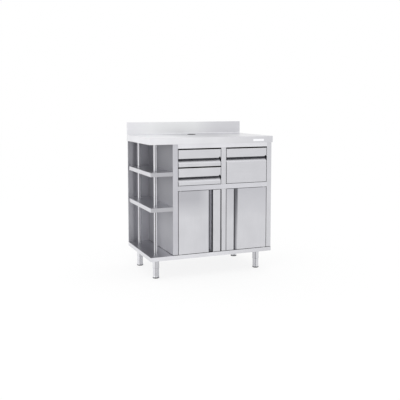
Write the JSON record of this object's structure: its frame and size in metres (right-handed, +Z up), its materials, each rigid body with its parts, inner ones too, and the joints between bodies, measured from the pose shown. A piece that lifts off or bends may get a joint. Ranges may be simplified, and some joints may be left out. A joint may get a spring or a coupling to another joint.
{
  "type": "waiter service station",
  "caption": "Stainless service station: worktop with upstand and cable outlet, open end shelves, drawers and doors with folded finger channels, adjustable feet.",
  "frame": {"origin": "on the floor, under the middle of the worktop", "axes": "+X to the user's right, -Y the front with the doors and drawers, +Z up"},
  "size_m": [1, 0.6, 1.15],
  "materials": {
    "stainless_brushed": "fine brushed stainless sheet, satin",
    "galvanised_runner": "zinc-plated, smooth",
    "screw_steel": "plain stainless screws",
    "black_plastic": "black moulded plastic",
    "nylon": "natural nylon"
  },
  "bodies": {
    "cabinet": {"worktop": "stainless_brushed", "worktop_stiffeners": "stainless_brushed", "cable_grommet": "black_plastic", "base_tray": "stainless_brushed", "shelf_upper": "stainless_brushed", "shelf_lower": "stainless_brushed", "shelf_posts": "stainless_brushed", "side_panel_left": "stainless_brushed", "side_panel_right": "stainless_brushed", "back_panel": "stainless_brushed", "top_rail": "stainless_brushed", "mid_rail": "stainless_brushed", "mullion_upper": "stainless_brushed", "mullion_lower": "stainless_brushed", "drawer_deck": "stainless_brushed", "runner_panel_left": "stainless_brushed", "runner_panel_right": "stainless_brushed", "runner_panel_centre": "stainless_brushed", "cupboard_shelf": "stainless_brushed", "shelf_ledges": "stainless_brushed", "base_stiffeners": "stainless_brushed", "leg_screws": "screw_steel", "door_bushes": "nylon", "door_catches": "black_plastic", "leg_front_left": "stainless_brushed", "leg_rear_left": "stainless_brushed", "leg_front_right": "stainless_brushed", "leg_rear_right": "stainless_brushed", "runner_outer_upper_left": "galvanised_runner", "runner_outer_lower_left": "galvanised_runner", "runner_outer_right": "galvanised_runner"},
    "drawer_upper_left": {"drawer_front_upper_left": "stainless_brushed", "drawer_liner_upper_left": "stainless_brushed", "drawer_box_upper_left": "stainless_brushed", "runner_inner_upper_left": "galvanised_runner"},
    "runner_stage_upper_left": {"runner_middle_upper_left": "galvanised_runner"},
    "drawer_lower_left": {"drawer_front_lower_left": "stainless_brushed", "drawer_liner_lower_left": "stainless_brushed", "drawer_box_lower_left": "stainless_brushed", "runner_inner_lower_left": "galvanised_runner"},
    "runner_stage_lower_left": {"runner_middle_lower_left": "galvanised_runner"},
    "drawer_right": {"drawer_front_right": "stainless_brushed", "drawer_liner_right": "stainless_brushed", "drawer_box_right": "stainless_brushed", "runner_inner_right": "galvanised_runner"},
    "runner_stage_right": {"runner_middle_right": "galvanised_runner"},
    "door_left": {"door_left_skin": "stainless_brushed", "door_left_liner": "stainless_brushed", "door_left_pivots": "stainless_brushed"},
    "door_right": {"door_right_skin": "stainless_brushed", "door_right_liner": "stainless_brushed", "door_right_pivots": "stainless_brushed"},
    "levelling_foot_front_left": {"foot_front_left": "stainless_brushed", "foot_pad_front_left": "black_plastic"},
    "levelling_foot_rear_left": {"foot_rear_left": "stainless_brushed", "foot_pad_rear_left": "black_plastic"},
    "levelling_foot_front_right": {"foot_front_right": "stainless_brushed", "foot_pad_front_right": "black_plastic"},
    "levelling_foot_rear_right": {"foot_rear_right": "stainless_brushed", "foot_pad_rear_right": "black_plastic"}
  },
  "joints": [
    {"name": "drawer_upper_left_slide", "type": "slide", "parent": "cabinet", "child": "drawer_upper_left", "axis": [0, -1, 0], "range_m": [0, 0.42]},
    {"name": "runner_stage_upper_left_slide", "type": "slide", "parent": "cabinet", "child": "runner_stage_upper_left", "axis": [0, -1, 0], "range_m": [0, 0.21]},
    {"name": "drawer_lower_left_slide", "type": "slide", "parent": "cabinet", "child": "drawer_lower_left", "axis": [0, -1, 0], "range_m": [0, 0.42]},
    {"name": "runner_stage_lower_left_slide", "type": "slide", "parent": "cabinet", "child": "runner_stage_lower_left", "axis": [0, -1, 0], "range_m": [0, 0.21]},
    {"name": "drawer_right_slide", "type": "slide", "parent": "cabinet", "child": "drawer_right", "axis": [0, -1, 0], "range_m": [0, 0.42]},
    {"name": "runner_stage_right_slide", "type": "slide", "parent": "cabinet", "child": "runner_stage_right", "axis": [0, -1, 0], "range_m": [0, 0.21]},
    {"name": "door_left_hinge", "type": "hinge", "parent": "cabinet", "child": "door_left", "pos_m": [-0.258, -0.282, 0.181], "axis": [0, 0, -1], "range_deg": [0, 110]},
    {"name": "door_right_hinge", "type": "hinge", "parent": "cabinet", "child": "door_right", "pos_m": [0.433, -0.282, 0.181], "axis": [0, 0, 1], "range_deg": [0, 110]},
    {"name": "foot_front_left_thread", "type": "slide", "parent": "cabinet", "child": "levelling_foot_front_left", "axis": [0, 0, -1], "range_m": [0, 0.025]},
    {"name": "foot_rear_left_thread", "type": "slide", "parent": "cabinet", "child": "levelling_foot_rear_left", "axis": [0, 0, -1], "range_m": [0, 0.025]},
    {"name": "foot_front_right_thread", "type": "slide", "parent": "cabinet", "child": "levelling_foot_front_right", "axis": [0, 0, -1], "range_m": [0, 0.025]},
    {"name": "foot_rear_right_thread", "type": "slide", "parent": "cabinet", "child": "levelling_foot_rear_right", "axis": [0, 0, -1], "range_m": [0, 0.025]}
  ],
  "couplings": [
    {"joint": "runner_stage_upper_left_slide", "follows": "drawer_upper_left_slide", "ratio": 0.5},
    {"joint": "runner_stage_lower_left_slide", "follows": "drawer_lower_left_slide", "ratio": 0.5},
    {"joint": "runner_stage_right_slide", "follows": "drawer_right_slide", "ratio": 0.5}
  ]
}
